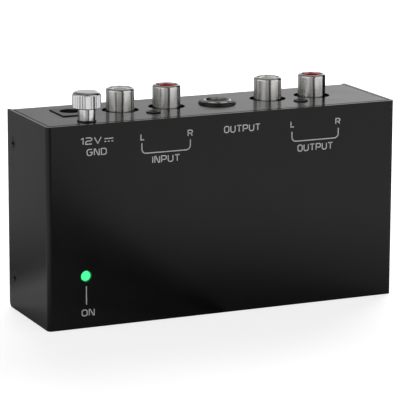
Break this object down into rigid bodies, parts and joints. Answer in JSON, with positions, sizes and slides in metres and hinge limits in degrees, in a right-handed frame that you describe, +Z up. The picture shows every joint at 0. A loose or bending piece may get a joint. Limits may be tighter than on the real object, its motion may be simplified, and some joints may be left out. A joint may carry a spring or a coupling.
{
  "type": "phono preamp",
  "caption": "Small folded-steel phono preamp case with phono sockets, a plug jack, a power jack and a ground post on one narrow side.",
  "frame": {"origin": "centre of the narrow bottom side that the case stands on", "axes": "+X along the long side, to the right of the label face; +Y to the back pan; +Z up, to the sockets"},
  "size_m": [0.11, 0.0346, 0.0675],
  "materials": {
    "case_paint": "satin black paint on folded sheet steel",
    "black_screw": "blackened steel",
    "rubber": "matt black rubber",
    "board": "green solder mask",
    "steel": "zinc-plated steel",
    "nickel": "bright nickel plate",
    "chrome": "bright chrome plate",
    "tin": "tinned copper",
    "spring_bronze": "spring bronze",
    "black_plastic": "moulded black plastic",
    "white_plastic": "moulded white plastic",
    "red_plastic": "moulded red plastic",
    "green_lens": "tinted lens, lit",
    "wire_cover": "green wire insulation",
    "chip": "matt black moulding",
    "can_sleeve": "dark sleeve with a bare aluminium top",
    "film": "red-brown dipped case",
    "resistor": "lacquered body with colour bands"
  },
  "bodies": {
    "case": {"cover": "case_paint", "chassis": "case_paint", "cover_screws": "black_screw", "rubber_feet": "rubber", "circuit_board": "board", "board_standoffs": "steel", "board_screws": "steel", "input_jack_block": "black_plastic", "output_jack_block": "black_plastic", "input_left_barrel": "nickel", "input_left_insulator": "white_plastic", "input_left_contact": "nickel", "input_right_barrel": "nickel", "input_right_insulator": "red_plastic", "input_right_contact": "nickel", "output_left_barrel": "nickel", "output_left_insulator": "white_plastic", "output_left_contact": "nickel", "output_right_barrel": "nickel", "output_right_insulator": "red_plastic", "output_right_contact": "nickel", "jack_fixing_screws": "black_screw", "plug_jack_body": "black_plastic", "plug_jack_ring": "nickel", "plug_jack_terminals": "tin", "power_jack_body": "black_plastic", "power_jack_pin": "nickel", "power_jack_terminal": "tin", "ground_stud": "chrome", "ground_lug": "tin", "ground_lock_washer": "steel", "ground_inner_nut": "steel", "ground_wire": "wire_cover", "light_lens": "green_lens", "light_spacer": "black_plastic", "light_leads": "tin", "amplifier_chips": "chip", "amplifier_chip_leads": "tin", "large_capacitors": "can_sleeve", "small_capacitors": "can_sleeve", "capacitor_leads": "tin", "film_capacitors": "film", "film_capacitor_leads": "tin", "regulators": "chip", "regulator_leads": "tin", "resistors": "resistor", "resistor_leads": "tin", "power_diode": "chip", "power_diode_leads": "tin"},
    "nut_washer": {"ground_washer": "black_plastic"},
    "nut": {"ground_nut": "chrome"},
    "tip_leaf": {"plug_jack_tip_spring": "spring_bronze"},
    "ring_leaf": {"plug_jack_ring_spring": "spring_bronze"},
    "power_leaf": {"power_jack_spring": "spring_bronze"}
  },
  "joints": [
    {"name": "nut_lift", "type": "slide", "parent": "case", "child": "nut_washer", "axis": [0, 0, 1], "range_m": [0, 0.0028]},
    {"name": "nut_turn", "type": "hinge", "parent": "nut_washer", "child": "nut", "pos_m": [-0.0408, -0.0105, 0.0594], "axis": [0, 0, 1], "range_deg": [0, 1441]},
    {"name": "tip_leaf_flex", "type": "hinge", "parent": "case", "child": "tip_leaf", "pos_m": [-0.00215, 0.00075, 0.0459], "axis": [0, 1, 0], "range_deg": [0, 6], "stiffness_Nm_per_rad": 0.02},
    {"name": "ring_leaf_flex", "type": "hinge", "parent": "case", "child": "ring_leaf", "pos_m": [0.01195, 0.00075, 0.0459], "axis": [0, -1, 0], "range_deg": [0, 7], "stiffness_Nm_per_rad": 0.02},
    {"name": "power_leaf_flex", "type": "hinge", "parent": "case", "child": "power_leaf", "pos_m": [-0.04015, 0.00855, 0.0523], "axis": [-1, 0, 0], "range_deg": [0, 6], "stiffness_Nm_per_rad": 0.02}
  ],
  "couplings": [
    {"joint": "nut_turn", "follows": "nut_lift", "rad_per_m": 8976}
  ]
}
